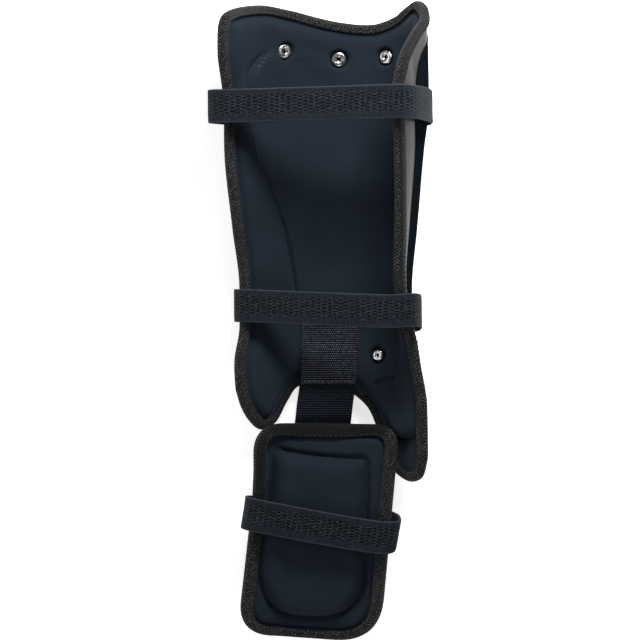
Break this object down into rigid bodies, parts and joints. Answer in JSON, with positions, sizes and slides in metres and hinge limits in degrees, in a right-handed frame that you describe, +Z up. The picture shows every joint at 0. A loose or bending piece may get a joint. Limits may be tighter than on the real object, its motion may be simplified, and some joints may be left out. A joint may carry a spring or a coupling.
{
  "type": "batter's leg guard",
  "caption": "Shin guard with a hard curved shell, padded liner and elastic straps, joined by webbing to a padded instep guard, lying leg side up.",
  "frame": {"origin": "middle of the underside of the guard's bounding box, on the floor that it lies on", "axes": "+X towards the high wing, +Y along the leg towards the knee, +Z up, from the shell towards the leg"},
  "size_m": [0.155, 0.4468, 0.0967],
  "materials": {
    "shell": "glossy black moulded plastic",
    "liner": "brushed knit over foam, navy black",
    "tape": "woven herringbone edge tape, black",
    "elastic": "woven elastic with rows of dark dashes, charcoal",
    "webbing": "ribbed nylon webbing, black",
    "nickel": "bright nickel plate"
  },
  "bodies": {
    "root": {"shin_shell": "shell", "shin_liner": "liner", "shin_binding": "tape", "rivet_top_left": "nickel", "rivet_top_middle": "nickel", "rivet_top_right": "nickel", "rivet_low_right": "nickel", "strap_upper": "elastic", "strap_lower": "elastic", "webbing_patch": "webbing", "webbing_link": "webbing", "foot_base": "liner", "foot_pad": "liner", "foot_binding": "tape", "foot_strap": "elastic"}
  },
  "joints": []
}
